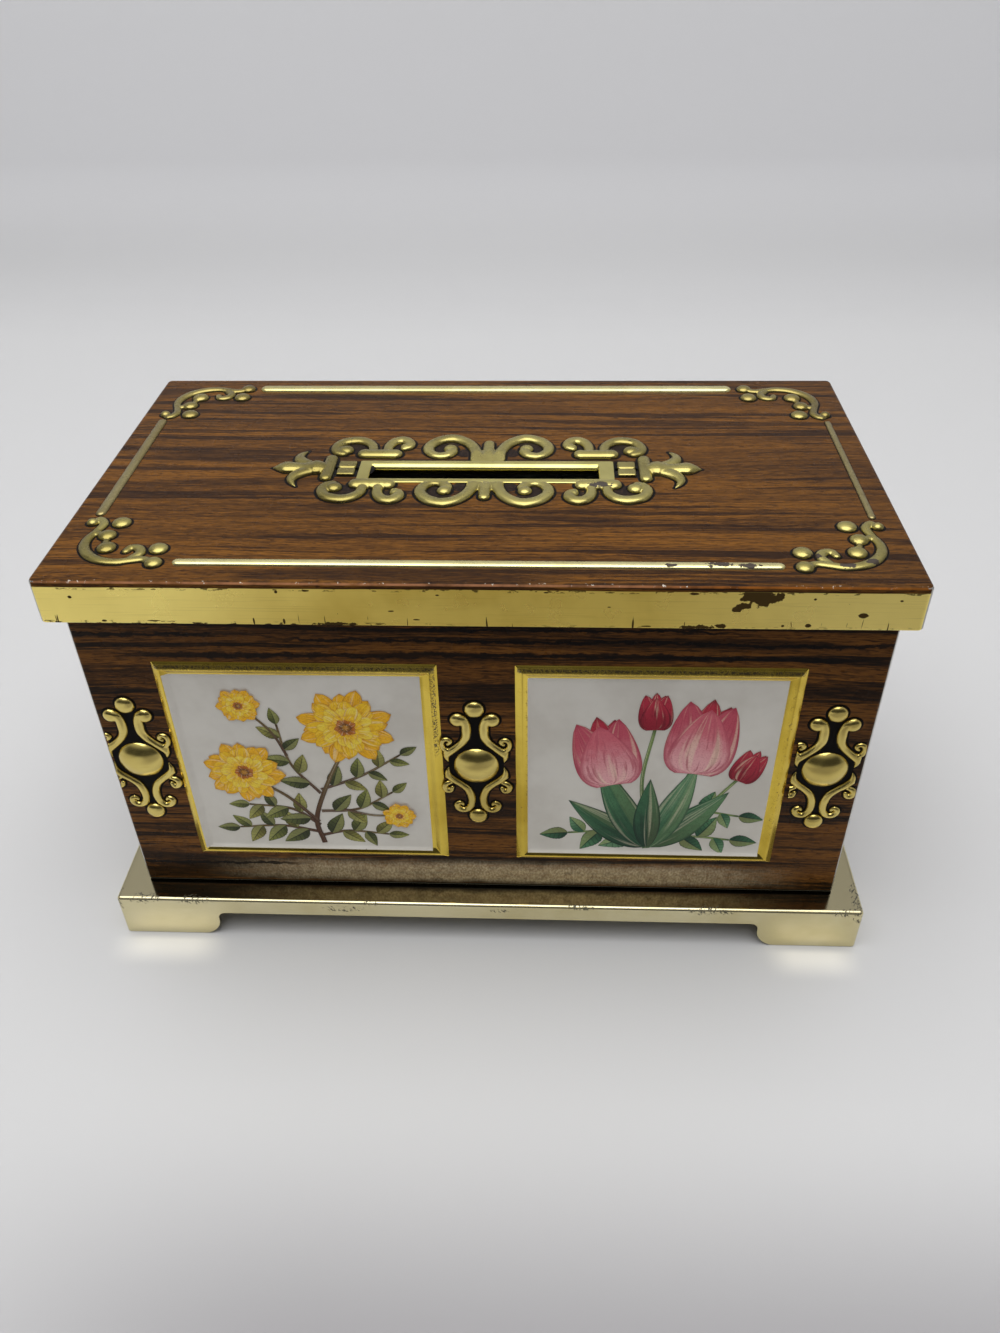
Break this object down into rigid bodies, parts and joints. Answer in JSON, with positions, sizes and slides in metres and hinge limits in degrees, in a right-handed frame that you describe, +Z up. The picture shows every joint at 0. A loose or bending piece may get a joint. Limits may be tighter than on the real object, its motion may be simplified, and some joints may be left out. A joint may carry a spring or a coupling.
{
  "type": "money box",
  "caption": "Casket-shaped tin money box with a coin slot in its hinged lid, embossed scrolls, framed front panels and a plinth on bracket feet.",
  "frame": {"origin": "on the ground, under the middle of the plinth", "axes": "+X to the right along the front, +Y from the front to the hinged back, +Z up"},
  "size_m": [0.157, 0.0864, 0.0913],
  "materials": {
    "printed_tin": "tinplate printed with dark wood grain and gold, glossy varnish",
    "gold_tin": "pale gold lacquer, satin",
    "plain_tin": "bare tinplate, satin",
    "hinge_brass": "brass-plated sheet, satin",
    "pin_steel": "steel wire, satin",
    "rivet_tin": "tinned steel, satin"
  },
  "bodies": {
    "body": {"body_wrap": "printed_tin", "body_floor": "plain_tin", "plinth_tray": "gold_tin", "hinge_left_body_leaf": "hinge_brass", "hinge_left_pin": "pin_steel", "hinge_right_body_leaf": "hinge_brass", "hinge_right_pin": "pin_steel", "body_rivet_left_outer": "rivet_tin", "body_rivet_left_inner": "rivet_tin", "body_rivet_right_outer": "rivet_tin", "body_rivet_right_inner": "rivet_tin", "plinth_rivet_front_left": "rivet_tin", "plinth_rivet_front_right": "rivet_tin", "plinth_rivet_back_left": "rivet_tin", "plinth_rivet_back_right": "rivet_tin"},
    "lid": {"lid_shell": "printed_tin", "hinge_left_lid_leaf": "hinge_brass", "hinge_right_lid_leaf": "hinge_brass", "lid_rivet_left_outer": "rivet_tin", "lid_rivet_left_inner": "rivet_tin", "lid_rivet_right_outer": "rivet_tin", "lid_rivet_right_inner": "rivet_tin"}
  },
  "joints": [
    {"name": "lid_hinge", "type": "hinge", "parent": "body", "child": "lid", "pos_m": [0, 0.0396, 0.08175], "axis": [-1, 0, 0], "range_deg": [0, 105]}
  ]
}
